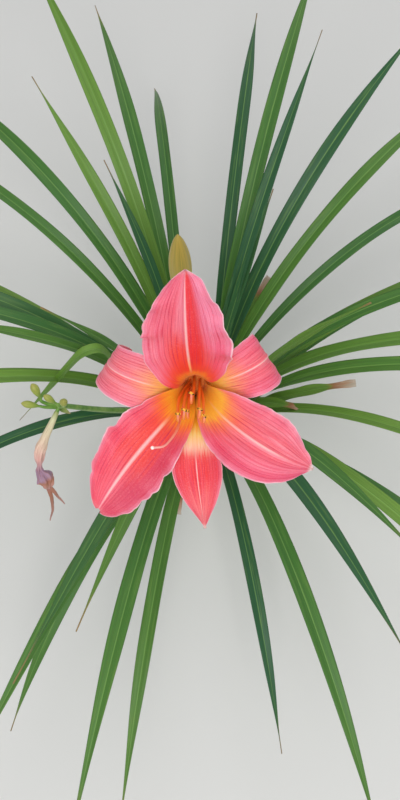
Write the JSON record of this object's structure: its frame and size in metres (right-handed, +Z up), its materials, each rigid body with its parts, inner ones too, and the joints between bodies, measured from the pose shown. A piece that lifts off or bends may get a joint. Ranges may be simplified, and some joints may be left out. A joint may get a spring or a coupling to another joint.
{
  "type": "daylily plant",
  "caption": "Clump of arching strap leaves with a coral-pink trumpet bloom, buds and a spent flower on leafless stalks, cut flat through its crown and standing on it",
  "frame": {"origin": "the middle of the flat cut face under the crown, which the plant stands on", "axes": "+Z up; the bloom leans and looks towards -Y; +X is to the right of someone who looks into the bloom"},
  "size_m": [0.7643, 0.7582, 0.559],
  "materials": {
    "rhizome": "dry corky skin",
    "leaf": "satin green blade",
    "stalk": "smooth green",
    "flower_tube": "yellow-green, satin",
    "petal": "coral pink, velvety",
    "sepal": "lighter coral pink, velvety",
    "filament": "orange, pale at the end",
    "anther": "dark with yellow pollen",
    "style": "pale pink",
    "bud": "olive yellow-green",
    "withered": "crumpled and papery"
  },
  "bodies": {
    "root": {"crown": "rhizome", "fan_1": "leaf", "fan_2": "leaf", "fan_3": "leaf", "fan_4": "leaf", "fan_5": "leaf", "fan_6": "leaf", "scape_tall": "stalk", "scape_short": "stalk", "flower_tube": "flower_tube", "petal_top": "petal", "petal_left": "petal", "petal_right": "petal", "sepal_left": "sepal", "sepal_right": "sepal", "sepal_low": "sepal", "filament_1": "filament", "filament_2": "filament", "filament_3": "filament", "filament_4": "filament", "filament_5": "filament", "filament_6": "filament", "anther_1": "anther", "anther_2": "anther", "anther_3": "anther", "anther_4": "anther", "anther_5": "anther", "anther_6": "anther", "pistil": "style", "bud_ripe": "bud", "bud_green": "bud", "bud_small": "bud", "bud_tiny": "bud", "bud_left_1": "bud", "bud_left_2": "bud", "bud_left_3": "bud", "bud_left_4": "bud", "spent_flower": "withered"}
  },
  "joints": []
}
